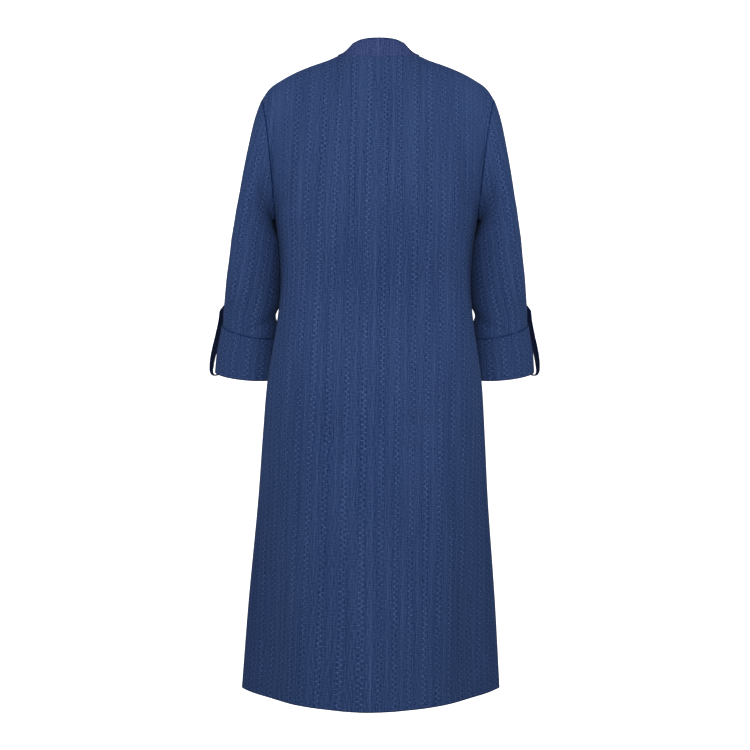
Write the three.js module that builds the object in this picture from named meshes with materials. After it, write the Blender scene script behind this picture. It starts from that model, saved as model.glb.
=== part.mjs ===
// A knee-length manteau as it hangs when worn, with nobody in it: a hollow coat with a back, two
// fronts that lap over each other, a stand collar that tapers away at the shoulders, three-quarter
// sleeves with turned-up cuffs, and a roll-up tab that loops under each cuff and buttons above it.
// Millimetres. +Z is up, the front faces -Y and the back +Y, so the wearer's left is at +X.
// The origin is the middle of the neck opening, level with the inner ends of the shoulder lines.
import * as THREE from "three";

// Cloth
const WALL = 1.6; // body and sleeve cloth with its turned edges
const DOUBLE = 2.4; // two layers with interfacing: collar and tabs
const SEAM = 0.3; // gap between pieces that are sewn together or lie on each other
const LEAN = 0.0124; // the coat hangs a little off plumb: sideways drift for each mm down

// Body: half the width, the depth behind and in front of the side seams, and how sharply the
// section comes to a point at the side seam (0.5 is an ellipse, 1 a parabola).
const UNDERARM_Z = -262;
const BODY = [
  { z: -1010, half: 206.4, back: 150, front: 148, point: 0.8 },
  { z: -870, half: 197.2, back: 144, front: 142, point: 0.74 },
  { z: -709, half: 184.0, back: 135, front: 136, point: 0.66 },
  { z: -600, half: 177.4, back: 128, front: 131, point: 0.6 },
  { z: -518, half: 171.4, back: 120, front: 127, point: 0.56 },
  { z: -445, half: 160.2, back: 105, front: 122, point: 0.53 },
  { z: -400, half: 154.6, back: 98, front: 120, point: 0.52 },
  { z: -357, half: 152.2, back: 96, front: 122, point: 0.51 },
  { z: -309, half: 155.2, back: 101, front: 132, point: 0.5 },
  { z: -262, half: 161.5, back: 107, front: 141, point: 0.5 },
];
const HEM_DIP = { back: 14.5, front: 9 }; // how far the hem's middle hangs below the side seams
const HEM_TILT = 0.006; // rise of the hem for each mm towards +X
const DIP_FADE = 320; // height over which the rows straighten out above the hem
// Soft flutes of the flared skirt near the side seams: sideways place, depth, half width, top
const FLUTES = [
  { x: 158, depth: 5, spread: 19, top: -760 },
  { x: -158, depth: 5, spread: 19, top: -760 },
];

// Shoulder line from the neck point out to the sleeve seam
const SHOULDER = [
  { x: 66, z: 1.2 },
  { x: 72, z: -1.6 },
  { x: 80, z: -5.2 },
  { x: 90, z: -8.8 },
  { x: 102, z: -12.8 },
  { x: 123, z: -21 },
  { x: 141, z: -29.5 },
  { x: 154, z: -37 },
  { x: 168, z: -46 },
  { x: 177, z: -55 },
  { x: 186, z: -69 },
];
const NECK_X = 66;
const TIP_X = 186;
const LAP = 15; // each front passes the centre line by this much
const LAP_LIFT = 2.7; // how far the upper front's outer face is lifted off the lower one's
const V_DEPTH = -150; // where the neckline meets the front edge

// Panels above the underarm: each column leaves the underarm line along its rise and comes down
// from the neck or the shoulder along its fall. The armhole's edge has a rise and fall of its own,
// and so have the columns of the fronts' middle.
const BACK_CURVES = {
  rise: { x: 0, y: 3, z: 85 },
  edgeRise: { x: 1, y: 55, z: 38 },
  neckFall: { out: 22, gain: 0.75, z: -52 }, // gain: more for each mm that the neckline comes forward
  shoulderFall: { inner: 61, outer: 48, z: -9 },
  edgeFall: { x: -14, y: 76, z: -38 },
};
const FRONT_CURVES = {
  middleRise: { x: 0, y: 1, z: 38 },
  rise: { x: 0, y: 2, z: 80 },
  edgeRise: { x: -2, y: -52, z: 38 },
  neckFall: { x: 0, y: -13, z: -38 },
  shoulderFall: { x: 0, y: -40, z: -9 },
  edgeFall: { x: -24, y: -72, z: -40 },
};
const EDGE_POWER = 5; // how late, on the way to the armhole, its own rise and fall take over
const CHEST = { depth: 141, rounding: 24, power: 1.6 }; // the chest's middle, below the neckline

// Back neckline, from the middle to the neck point
const BACK_NECK = [
  { x: 0, y: 52, z: -8 },
  { x: 14, y: 51.3, z: -7.7 },
  { x: 28, y: 48.4, z: -6.6 },
  { x: 41, y: 42.3, z: -4.8 },
  { x: 52, y: 31, z: -2.6 },
  { x: 60, y: 17, z: -0.6 },
  { x: 66, y: 0, z: 1.2 },
];
// Neckline of a front: the four points of its curve, from the free edge up to the neck point
const FRONT_NECK = [
  { x: -LAP, y: -117, z: V_DEPTH },
  { x: 12, y: -112, z: -108 },
  { x: 53, y: -66, z: -26 },
  { x: NECK_X, y: 0, z: 1.2 },
];
// Collar's top edge over the same stations: full height behind, a corner, then a slope to nothing
const COLLAR_TOP = [
  { x: 0, y: 50, z: 23 },
  { x: 14, y: 49.4, z: 22.5 },
  { x: 28, y: 47, z: 20.4 },
  { x: 40.5, y: 41, z: 15.8 },
  { x: 51, y: 29.5, z: 6.6 },
  { x: 59, y: 15.5, z: 3.2 },
  { x: 65, y: 3, z: 3 },
];
const COLLAR_ROWS = [0, 0.35, 0.7, 1];
const COLLAR_END = 0.12; // how far short of the neck point the collar's foot ends, in stations

// Sleeve, for the +X side: the ring's centre, its half width and half depth, and how far its
// longer axis is turned inwards at the front, in degrees
const SLEEVE = [
  { z: -292, cx: 189.5, cy: -14, rx: 39, ry: 62, turn: 17 },
  { z: -325, cx: 192, cy: -19, rx: 41, ry: 60, turn: 17 },
  { z: -360, cx: 196, cy: -25, rx: 43, ry: 57, turn: 15 },
  { z: -388, cx: 200, cy: -31, rx: 43, ry: 54, turn: 8 },
  { z: -408, cx: 202.5, cy: -35, rx: 43, ry: 52, turn: 0 },
  { z: -430, cx: 201.5, cy: -39.5, rx: 45, ry: 51, turn: 0 },
  { z: -455, cx: 203, cy: -45, rx: 47.5, ry: 50.5, turn: 0 },
  { z: -482, cx: 205, cy: -50.5, rx: 50.5, ry: 50.5, turn: 0 },
  { z: -508, cx: 206, cy: -55.5, rx: 52, ry: 51, turn: 0 },
];
const RING_TILT = 3; // the rings' outer ends are raised this much more than the arm's axis asks
const ELBOW = { z: -410, depth: 5, reach: 9, width: 50 }; // crease on the inner side of the elbow
const CLEAR = 2.2; // gap kept between a sleeve and the body's side
const CUFF_HEIGHT = 72;
// Sleeve cap: how its cloth turns as it leaves the armhole (out at the shoulder, down at the
// shoulder, up at the underarm), and how full its curve is at both ends
const CAP = { out: 0.4, down: 0.86, up: 0.4, fullness: 0.26, lead: 4, arrival: 0.3, flare: 0.08, ease: 1.6 };

// Tab: distance below the cuff's edge along the arm (negative is above it), distance out from the
// sleeve's surface, and how far forward of the sleeve's outermost line it lies, in degrees
const TAB_WIDTH = 28;
const TAB_TIP = 0.16; // how much of its width is left at the pointed end
const TAB = [
  { down: -66, out: -6.6, turn: 2 },
  { down: -40, out: -6.6, turn: 2 },
  { down: -16, out: -6.6, turn: 2 },
  { down: -4, out: -6.4, turn: 2 },
  { down: 2, out: -5.4, turn: 2 },
  { down: 5.4, out: -2.4, turn: 2 },
  { down: 6.4, out: 1.2, turn: 2 },
  { down: 5.2, out: 5, turn: 2 },
  { down: 0.6, out: 8, turn: 2 },
  { down: -6, out: 9.2, turn: 3 },
  { down: -16, out: 9.2, turn: 4 },
  { down: -30, out: 8.4, turn: 8 },
  { down: -48, out: 7.4, turn: 12 },
  { down: -66, out: 6.4, turn: 15 },
  { down: -84, out: 5.0, turn: 16 },
  { down: -95, out: 3.8, turn: 16 },
  { down: -104, out: 2.2, turn: 16 },
];
const TAB_OUTER = 8; // the first station of the outer strand

// Buttons
const FRONT_BUTTON = { radius: 9.5, height: 3.4, count: 5, first: -172, pitch: 118 };
const TAB_BUTTON = { radius: 6, height: 2.6, down: -90 };
// A button's outline from the middle of its foot over the rim, in shares of its radius and height
const BUTTON_OUTLINE = [
  { out: 0, up: 0 },
  { out: 0.82, up: 0 },
  { out: 1, up: 0.35 },
  { out: 1, up: 0.7 },
  { out: 0.86, up: 1 },
  { out: 0.68, up: 0.72 },
  { out: 0, up: 0.62 },
];
const BUTTON_SIDES = 18;

const COLOURS = { cloth: 0x2f4376, edge: 0x263864, button: 0x1d2746 };

// Columns and rows of the panels
const BACK_COLUMNS = 15; // from the middle to one side
const NECK_COLUMNS = BACK_NECK.length - 1; // of those, the ones that end at the neckline
const FRONT_COLUMNS = 13;
const FRONT_NECK_COLUMNS = 5;
const LOWER_ROWS = [
  -1010, -960, -905, -850, -790, -730, -670, -610, -555, -505, -465, -430, -398, -362, -326, -292,
];
const UPPER_ROWS = [0, 0.1, 0.2, 0.3, 0.4, 0.5, 0.6, 0.7, 0.79, 0.87, 0.94, 1];
const CAP_ROWS = [0, 0.16, 0.34, 0.52, 0.7, 0.86];
const CUFF_ROWS = [0, 0.04, 0.2, 0.4, 0.6, 0.8, 1];
const ARM_ROWS = [
  -508, -496, -482, -466, -450, -436, -424, -414, -408, -401, -390, -372, -350, -322, -292,
];

const rad = THREE.MathUtils.degToRad;
const at = (x, y, z) => new THREE.Vector3(x, y, z);
const point = ({ x, y, z }) => at(x, y, z);
const mix = THREE.MathUtils.lerp;
const step = THREE.MathUtils.smoothstep;

// Every column of a table at one value of its key, along a smooth curve through its rows.
function read(rows, key, value) {
  const up = rows[rows.length - 1][key] > rows[0][key] ? 1 : -1;
  let k = 0;
  while (k < rows.length - 2 && up * (value - rows[k + 1][key]) > 0) k += 1;
  const span = rows[k + 1][key] - rows[k][key];
  const t = THREE.MathUtils.clamp((value - rows[k][key]) / span, 0, 1);
  const slope = (i, column) => {
    const a = rows[Math.max(0, i - 1)];
    const b = rows[Math.min(rows.length - 1, i + 1)];
    return (b[column] - a[column]) / (b[key] - a[key]);
  };
  const out = {};
  for (const column of Object.keys(rows[0])) {
    const [p, q] = [rows[k][column], rows[k + 1][column]];
    const [m, n] = [slope(k, column) * span, slope(k + 1, column) * span];
    out[column] =
      p * (1 + 2 * t) * (1 - t) ** 2 + m * t * (1 - t) ** 2 + q * t * t * (3 - 2 * t) - n * t * t * (1 - t);
  }
  return out;
}

// The same by row number, for a table whose rows are stations.
function readStation(rows, number) {
  const numbered = rows.map((row, k) => ({ ...row, k }));
  return read(numbered, "k", number);
}

function bezier(a, b, c, d, t) {
  const s = 1 - t;
  return at(0, 0, 0)
    .addScaledVector(a, s * s * s)
    .addScaledVector(b, 3 * s * s * t)
    .addScaledVector(c, 3 * s * t * t)
    .addScaledVector(d, t * t * t);
}

const blend = (a, b, w) => a.clone().lerp(b, w);

// Moves a point sideways as the coat's lean asks.
const hang = (p) => at(p.x - LEAN * p.z, p.y, p.z);

// Body sections

// A point of the lower body: angle 90 is the middle of the back, 0 and 180 the side seams,
// 270 the middle of the front.
function bodyPoint(z, degrees) {
  const row = read(BODY, "z", z);
  const [c, s] = [Math.cos(rad(degrees)), Math.sin(rad(degrees))];
  const depth = s >= 0 ? row.back : row.front;
  const dip = s >= 0 ? HEM_DIP.back : HEM_DIP.front;
  const p = at(row.half * c, Math.sign(s) * depth * Math.abs(s) ** (2 * row.point), z);
  const fade = 1 - step(z, BODY[0].z, BODY[0].z + DIP_FADE);
  p.z += (HEM_TILT * p.x - dip * Math.abs(s) ** 2.2) * fade;
  for (const flute of FLUTES) {
    const strength = 1 - step(z, BODY[0].z, flute.top);
    p.y -= Math.sign(s) * flute.depth * strength * Math.exp(-(((p.x - flute.x) / flute.spread) ** 2));
  }
  return p;
}

// Half the body's width at a height and depth, for keeping the sleeves clear of it.
function bodyReach(z, y) {
  const row = read(BODY, "z", Math.max(z, BODY[0].z));
  const share = Math.min(1, Math.abs(y) / (y > 0 ? row.back : row.front));
  return row.half * Math.sqrt(Math.max(0, 1 - share ** (1 / row.point)));
}

const shoulderPoint = (x) => at(x, 0, read(SHOULDER, "x", x).z);

// Back panel, one half (x from 0 outwards): share 0 is the middle, 1 the side or armhole.
function backColumn(share, t) {
  const start = bodyPoint(UNDERARM_Z, 90 * (1 - share));
  const neckShare = NECK_COLUMNS / BACK_COLUMNS;
  const shoulder = (share - neckShare) / (1 - neckShare);
  const neck = readStation(BACK_NECK, Math.min(share * BACK_COLUMNS, NECK_COLUMNS));
  const end = shoulder < 0 ? point(neck) : shoulderPoint(mix(NECK_X, TIP_X, shoulder));
  const side = share ** EDGE_POWER;
  const { neckFall, shoulderFall } = BACK_CURVES;
  const atNeck = neckFall.out + neckFall.gain * (BACK_NECK[0].y - neck.y);
  const atShoulder = mix(shoulderFall.inner, shoulderFall.outer, step(shoulder, 0, 0.6));
  const down = mix(neckFall.z, shoulderFall.z, step(share, 0.3 * neckShare, neckShare + 0.2));
  const rise = blend(point(BACK_CURVES.rise), point(BACK_CURVES.edgeRise), side);
  const fall = blend(at(0, shoulder < 0 ? atNeck : atShoulder, down), point(BACK_CURVES.edgeFall), side);
  return bezier(start, start.clone().add(rise), end.clone().add(fall), end, t);
}

// Depth of the chest's middle, which both fronts share where they lap.
function chestDepth(z) {
  const up = Math.max(0, (z - UNDERARM_Z) / (V_DEPTH - UNDERARM_Z));
  return -CHEST.depth + CHEST.rounding * up ** CHEST.power;
}

const frontNeck = (t) => bezier(...FRONT_NECK.map(point), t);

function frontAngle(z, share) {
  const edge = 90 + Math.asin(LAP / read(BODY, "z", z).half) / rad(1);
  return -edge * (1 - share);
}

// Front panel, the one at +X, without the lap's lift: share 0 is its free edge, 1 the side.
function frontColumn(share, t) {
  const start = bodyPoint(UNDERARM_Z, frontAngle(UNDERARM_Z, share));
  const neckShare = FRONT_NECK_COLUMNS / FRONT_COLUMNS;
  const shoulder = (share - neckShare) / (1 - neckShare);
  const end = shoulder < 0 ? frontNeck(share / neckShare) : shoulderPoint(mix(NECK_X, TIP_X, shoulder));
  const side = share ** EDGE_POWER;
  const ridge = step(share, neckShare - 0.2, neckShare + 0.1);
  const { middleRise, edgeRise, neckFall, shoulderFall, edgeFall } = FRONT_CURVES;
  const chestRise = blend(point(middleRise), point(FRONT_CURVES.rise), step(share, 0, neckShare));
  const rise = blend(chestRise, point(edgeRise), side);
  const fall = blend(blend(point(neckFall), point(shoulderFall), ridge), point(edgeFall), side);
  const p = bezier(start, start.clone().add(rise), end.clone().add(fall), end, t);
  if (p.z < V_DEPTH + 40) p.y = mix(chestDepth(p.z), p.y, step(Math.abs(p.x), LAP, 4 * LAP));
  return p;
}

// Grids run left to right as seen from outside, and each column runs upwards.

function panelColumn(lower, upper) {
  return [...LOWER_ROWS.map(lower), ...UPPER_ROWS.map(upper)];
}

function backGrid() {
  const columns = [];
  for (let i = -BACK_COLUMNS; i <= BACK_COLUMNS; i += 1) {
    const share = Math.abs(i) / BACK_COLUMNS;
    const side = i > 0 ? -1 : 1;
    const mirrored = (p) => at(side * p.x, p.y + SEAM / 2, p.z);
    columns.push(
      panelColumn(
        (z) => mirrored(bodyPoint(z, 90 * (1 - share))),
        (t) => mirrored(backColumn(share, t)),
      ),
    );
  }
  return columns;
}

// The front that lies on top is lifted off the other one over the lap.
function frontGrid(side, onTop) {
  const columns = [];
  for (let i = 0; i <= FRONT_COLUMNS; i += 1) {
    const share = i / FRONT_COLUMNS;
    const placed = (p) => {
      const lift = onTop ? LAP_LIFT * (1 - step(p.x, LAP + 5, LAP + 50)) : 0;
      return at(side * p.x, p.y - SEAM / 2 - lift, p.z);
    };
    columns.push(
      panelColumn(
        (z) => placed(bodyPoint(z, frontAngle(z, share))),
        (t) => placed(frontColumn(share, t)),
      ),
    );
  }
  return side > 0 ? columns : columns.reverse();
}

// Sleeve for the +X side

// A point of the arm below the cap: angle 0 is outermost, 90 behind, 180 against the body.
function armPoint(z, degrees, out = 0) {
  const row = read(SLEEVE, "z", z);
  const above = read(SLEEVE, "z", z + 8);
  const below = read(SLEEVE, "z", z - 8);
  const reach = above.z - below.z;
  const axis = at((above.cx - below.cx) / reach, (above.cy - below.cy) / reach, 1).normalize();
  axis.x -= Math.sin(rad(RING_TILT));
  const [c, s] = [Math.cos(rad(degrees)), Math.sin(rad(degrees))];
  const turn = rad(row.turn);
  const [across, along] = [(row.rx + out) * c, (row.ry + out) * s];
  const offInner = 180 - Math.abs(180 - THREE.MathUtils.euclideanModulo(degrees + 180, 360));
  const fromElbow = ((z - ELBOW.z) / ELBOW.reach) ** 2 + (offInner / ELBOW.width) ** 2;
  const p = at(0, along * Math.cos(turn) - across * Math.sin(turn), 0);
  p.x = across * Math.cos(turn) + along * Math.sin(turn) + ELBOW.depth * Math.exp(-fromElbow);
  p.z = -(p.x * axis.x + p.y * axis.y) / axis.z;
  p.add(at(row.cx, row.cy, z));
  p.x = Math.max(p.x, bodyReach(p.z, p.y) + CLEAR + WALL + SEAM - out);
  return p;
}

// Which way the cloth's thickness goes at the armhole seam: down at the top of the shoulder, into
// the coat behind and in front, and away from the sleeve at the underarm.
function armholeInward(down, behind) {
  const middle = blend(at(0, 0, -1), at(-0.35, behind ? -1 : 1, 0), step(down, 0, 0.3));
  return blend(middle, at(-1, 0, 0), step(down, 0.7, 1)).normalize();
}

// The armhole's edge as a closed loop from the top of the shoulder, round the back, the underarm
// and the front, with the share of the way down and the ring angle that each point leads to.
function armholeLoop() {
  const loop = [];
  const rows = UPPER_ROWS.length - 1;
  for (let k = 0; k < 2 * rows; k += 1) {
    const behind = k <= rows;
    const t = UPPER_ROWS[behind ? rows - k : k - rows];
    const edge = behind ? backColumn(1, t) : frontColumn(1, t);
    edge.y += (behind ? SEAM : -SEAM) / 2;
    if (k === 0 || k === rows) edge.y = 0;
    const inward = armholeInward(1 - t, behind);
    if (k === 0 || k === rows) inward.setY(0).normalize();
    loop.push({ edge, inward, down: 1 - t, angle: (180 * k) / rows });
  }
  loop.forEach((station, k) => {
    const next = loop[(k + 1) % loop.length].edge;
    const before = loop[(k + loop.length - 1) % loop.length].edge;
    station.off = station.inward.clone().cross(next.clone().sub(before)).normalize();
  });
  return loop;
}

// A point of the cap on its way from the armhole (t 0) to the first ring of the arm (t 1).
function capPoint({ edge, off, down, angle }, t) {
  const leave = at(mix(CAP.out, 1, down), 0, CAP.up * down ** 4 - CAP.down * (1 - down) ** 0.6).normalize();
  const start = edge.clone().addScaledVector(off, SEAM * (1 + CAP.ease * down * down));
  const end = armPoint(SLEEVE[0].z, angle);
  const reach = end.distanceTo(start);
  const pull = armPoint(SLEEVE[0].z - 6, angle).sub(end).normalize();
  pull.x += CAP.flare * Math.cos(rad(angle));
  const first = start.clone().addScaledVector(leave, CAP.fullness * reach + CAP.lead);
  const second = end.clone().addScaledVector(pull, -CAP.arrival * reach);
  return bezier(start, first, second, end, t);
}

const ARM_END = ARM_ROWS[0]; // the cuff's fold, which the cuff and the tab start from
const SLEEVE_END = ARM_END + 2.2; // the sleeve stops inside the cuff's fold

function sleeveGrid() {
  return armholeLoop().map((station) => [
    ...ARM_ROWS.map((z) => armPoint(Math.max(z, SLEEVE_END), station.angle)),
    ...[...CAP_ROWS].reverse().map((t) => capPoint(station, t)),
  ]);
}

function cuffGrid() {
  return armholeLoop().map(({ angle }) =>
    CUFF_ROWS.map((up) => armPoint(ARM_END + up * CUFF_HEIGHT, angle, SEAM + WALL)),
  );
}

// Tab stations as a centre line with a width direction and a direction out of its face.
function tabStations() {
  return TAB.map(({ down, out, turn }) => {
    const z = ARM_END - Math.min(down, 0);
    const base = armPoint(z, -turn);
    const away = at(Math.cos(rad(turn)), -Math.sin(rad(turn)), 0);
    const along = armPoint(ARM_END, -turn).sub(armPoint(ARM_END + 20, -turn)).normalize();
    base.addScaledVector(away, out).addScaledVector(along, Math.max(down, 0));
    return { centre: base, across: at(Math.sin(rad(turn)), Math.cos(rad(turn)), 0) };
  });
}

// The direction out of the tab's face at one of its stations.
function tabFace(stations, k) {
  const next = stations[Math.min(stations.length - 1, k + 1)].centre;
  const before = stations[Math.max(0, k - 1)].centre;
  return next.clone().sub(before).cross(stations[k].across).normalize();
}

// Solids

// A closed wall from a grid of outer points, thickened inwards. settle may move an inner point.
function wall(grid, thickness, { closed = false, settle = (p) => p } = {}) {
  const [columns, rows] = [grid.length, grid[0].length];
  const column = (i) => (closed ? (i + columns) % columns : THREE.MathUtils.clamp(i, 0, columns - 1));
  const row = (j) => THREE.MathUtils.clamp(j, 0, rows - 1);
  const inner = grid.map((points, i) =>
    points.map((p, j) => {
      const across = grid[column(i + 1)][j].clone().sub(grid[column(i - 1)][j]);
      const up = points[row(j + 1)].clone().sub(points[row(j - 1)]);
      const normal = across.cross(up).normalize();
      return settle(p.clone().addScaledVector(normal, -thickness), i, j, p);
    }),
  );
  const points = [...grid.flat(), ...inner.flat()];
  const outerAt = (i, j) => column(i) * rows + j;
  const innerAt = (i, j) => columns * rows + outerAt(i, j);
  const faces = [];
  const quad = (a, b, c, d) => faces.push(a, b, c, a, c, d);
  const spans = closed ? columns : columns - 1;
  for (let i = 0; i < spans; i += 1) {
    for (let j = 0; j < rows - 1; j += 1) {
      quad(outerAt(i, j), outerAt(i + 1, j), outerAt(i + 1, j + 1), outerAt(i, j + 1));
      quad(innerAt(i, j), innerAt(i, j + 1), innerAt(i + 1, j + 1), innerAt(i + 1, j));
    }
    quad(outerAt(i, 0), innerAt(i, 0), innerAt(i + 1, 0), outerAt(i + 1, 0));
    quad(outerAt(i, rows - 1), outerAt(i + 1, rows - 1), innerAt(i + 1, rows - 1), innerAt(i, rows - 1));
  }
  if (!closed) {
    for (let j = 0; j < rows - 1; j += 1) {
      const last = columns - 1;
      quad(outerAt(0, j), outerAt(0, j + 1), innerAt(0, j + 1), innerAt(0, j));
      quad(outerAt(last, j), innerAt(last, j), innerAt(last, j + 1), outerAt(last, j + 1));
    }
  }
  return solid(points, faces);
}

function solid(points, faces) {
  const positions = points.map(hang).flatMap((p) => [p.x, p.y, p.z]);
  const geometry = new THREE.BufferGeometry();
  geometry.setAttribute("position", new THREE.Float32BufferAttribute(positions, 3));
  geometry.setIndex(faces);
  geometry.computeVertexNormals();
  return geometry;
}

const mirroredGrid = (grid) => grid.map((points) => points.map((p) => at(-p.x, p.y, p.z))).reverse();

// The cloth's thickness at a panel's seams stays in the seam's own plane, so that pieces that meet
// there don't cross.
function seamSettle(columns, behind) {
  return (inner, i, j, outer) => {
    const side = Math.sign(outer.x);
    const upper = j - LOWER_ROWS.length;
    if (columns.includes(i) && upper < 0) return at(outer.x - side * WALL, outer.y, inner.z);
    if (columns.includes(i)) {
      const inward = armholeInward(1 - UPPER_ROWS[upper], behind);
      return outer.clone().add(at(side * inward.x, inward.y, inward.z).multiplyScalar(WALL));
    }
    const atRidge = upper === UPPER_ROWS.length - 1 && Math.abs(outer.x) > NECK_X - 1;
    return atRidge ? at(inner.x, outer.y, outer.z - WALL) : inner;
  };
}

function backSolid() {
  return wall(backGrid(), WALL, { settle: seamSettle([0, 2 * BACK_COLUMNS], true) });
}

function frontSolid(side, onTop) {
  const seam = side > 0 ? FRONT_COLUMNS : 0;
  return wall(frontGrid(side, onTop), WALL, { settle: seamSettle([seam], false) });
}

function sleeveSolid(side) {
  const grid = sleeveGrid();
  const loop = armholeLoop();
  const top = ARM_ROWS.length + CAP_ROWS.length - 1;
  const settle = (inner, i, j, outer) => {
    if (j < top) return inner;
    const { inward } = loop[side > 0 ? i : loop.length - 1 - i];
    return outer.clone().add(at(side * inward.x, inward.y, inward.z).multiplyScalar(WALL));
  };
  return wall(side > 0 ? grid : mirroredGrid(grid), WALL, { closed: true, settle });
}

function cuffSolid(side) {
  const grid = cuffGrid();
  return wall(side > 0 ? grid : mirroredGrid(grid), WALL, { closed: true });
}

// The collar's outer face stands on the back neckline, station by station.
function collarSolid() {
  const half = COLLAR_TOP.map((top, k) => {
    const seam = readStation(BACK_NECK, Math.min(k, NECK_COLUMNS - COLLAR_END));
    const foot = at(seam.x, seam.y + SEAM / 2, seam.z + 2 * SEAM);
    return COLLAR_ROWS.map((h) => blend(foot, at(top.x, top.y, top.z), h));
  });
  const other = half.slice(1).map((points) => points.map((p) => at(-p.x, p.y, p.z)));
  return wall([...half.reverse(), ...other], DOUBLE);
}

// A flat strap with a pointed end, swept along its stations.
function tabSolid(side) {
  const stations = tabStations();
  const points = [];
  const last = stations.length - 1;
  const corners = [[-1, -1], [0, -1], [1, -1], [1, 1], [0, 1], [-1, 1]];
  stations.forEach(({ centre, across }, k) => {
    const face = tabFace(stations, k);
    const share = k === last ? TAB_TIP : 1;
    for (const [w, f] of corners) {
      const p = centre.clone();
      p.addScaledVector(across, (w * share * TAB_WIDTH) / 2).addScaledVector(face, (f * DOUBLE) / 2);
      points.push(at(side * p.x, p.y, p.z));
    }
  });
  const faces = [];
  const n = corners.length;
  const add = (a, b, c) => (side > 0 ? faces.push(a, b, c) : faces.push(a, c, b));
  for (let k = 0; k < last; k += 1) {
    for (let c = 0; c < n; c += 1) {
      const [a, b] = [k * n + c, k * n + ((c + 1) % n)];
      add(a, b, b + n);
      add(a, b + n, a + n);
    }
  }
  for (let c = 1; c < n - 1; c += 1) {
    add(0, c + 1, c);
    add(last * n, last * n + c, last * n + c + 1);
  }
  return solid(points, faces);
}

// A round button with a raised rim, facing along a direction.
function buttonSolid(size, centre, facing) {
  const outline = BUTTON_OUTLINE.map(({ out, up }) => new THREE.Vector2(size.radius * out, size.height * up));
  const geometry = new THREE.LatheGeometry(outline, BUTTON_SIDES);
  geometry.deleteAttribute("normal");
  geometry.deleteAttribute("uv");
  const turned = new THREE.Quaternion().setFromUnitVectors(at(0, 1, 0), facing.clone().normalize());
  geometry.applyQuaternion(turned);
  const place = hang(centre);
  geometry.translate(place.x, place.y, place.z);
  geometry.computeVertexNormals();
  return geometry;
}

function frontButton(index) {
  const z = FRONT_BUTTON.first - index * FRONT_BUTTON.pitch;
  const depthAt = (height) => (height > UNDERARM_Z ? chestDepth(height) : bodyPoint(height, -90).y);
  const facing = at(0, -1, (depthAt(z + 4) - depthAt(z - 4)) / 8);
  const centre = at(0, depthAt(z) - SEAM / 2 - LAP_LIFT, z);
  centre.addScaledVector(facing.normalize(), 2 * SEAM);
  return buttonSolid(FRONT_BUTTON, centre, facing);
}

function tabButton(side) {
  const stations = tabStations();
  const outer = TAB.map(({ down }, k) => ({ down, k })).slice(TAB_OUTER);
  const spot = read(outer, "down", TAB_BUTTON.down).k;
  const k = Math.floor(spot);
  const centre = blend(stations[k].centre, stations[k + 1].centre, spot - k);
  const facing = stations[k + 1].centre.clone().sub(stations[k].centre).cross(stations[k].across);
  if (facing.x < 0) facing.negate();
  centre.addScaledVector(facing.normalize(), DOUBLE / 2 + 2 * SEAM);
  const sided = (p) => at(side * p.x, p.y, p.z);
  return buttonSolid(TAB_BUTTON, sided(centre), sided(facing));
}

const manteau = new THREE.Group();
manteau.name = "manteau";

function add(name, geometry, color, roughness = 0.85) {
  const mesh = new THREE.Mesh(geometry, new THREE.MeshStandardMaterial({ color, roughness, metalness: 0 }));
  mesh.name = name;
  manteau.add(mesh);
}

add("back", backSolid(), COLOURS.cloth);
add("front_left", frontSolid(1, false), COLOURS.cloth);
add("front_right", frontSolid(-1, true), COLOURS.cloth);
add("collar", collarSolid(), COLOURS.cloth);
for (const [name, side] of [["left", 1], ["right", -1]]) {
  add(`sleeve_${name}`, sleeveSolid(side), COLOURS.cloth);
  add(`cuff_${name}`, cuffSolid(side), COLOURS.cloth);
  add(`tab_${name}`, tabSolid(side), COLOURS.edge);
  add(`tab_button_${name}`, tabButton(side), COLOURS.button, 0.4);
}
for (let index = 0; index < FRONT_BUTTON.count; index += 1) {
  add(`front_button_${index + 1}`, frontButton(index), COLOURS.button, 0.4);
}

export default manteau;
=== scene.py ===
# A knee-length manteau as it hangs when worn, with nobody in it, seen from behind.
# The shapes are worked out in millimetres, from nearly the same sizes as the solids, and kept in metres.
import math

import bmesh
import bpy
import numpy as np
from mathutils import Matrix, Vector


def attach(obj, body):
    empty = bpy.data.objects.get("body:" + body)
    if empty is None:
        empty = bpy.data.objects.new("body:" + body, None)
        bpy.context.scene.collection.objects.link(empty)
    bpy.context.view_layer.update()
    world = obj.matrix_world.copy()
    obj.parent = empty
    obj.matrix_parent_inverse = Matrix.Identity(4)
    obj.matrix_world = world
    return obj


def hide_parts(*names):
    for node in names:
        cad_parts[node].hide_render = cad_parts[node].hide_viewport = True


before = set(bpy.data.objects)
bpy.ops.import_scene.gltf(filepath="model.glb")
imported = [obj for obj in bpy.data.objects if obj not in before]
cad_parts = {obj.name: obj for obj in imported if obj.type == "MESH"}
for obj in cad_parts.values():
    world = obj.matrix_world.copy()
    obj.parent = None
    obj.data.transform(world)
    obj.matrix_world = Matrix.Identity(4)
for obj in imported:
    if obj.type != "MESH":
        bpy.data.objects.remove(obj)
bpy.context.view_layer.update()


# Sizes in millimetres. Most are those of the solids, a few are a little finer.

WALL = 1.6  # one layer of cloth
DOUBLE = 2.4  # two layers sewn together
SEAM = 0.3  # between the outer faces of two pieces
CLOSED = 0.02  # half the gap that is left at the inner face of a seam
LEAN = 0.0124  # how far the coat hangs to one side for each mm up

UNDERARM_Z = -262
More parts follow.
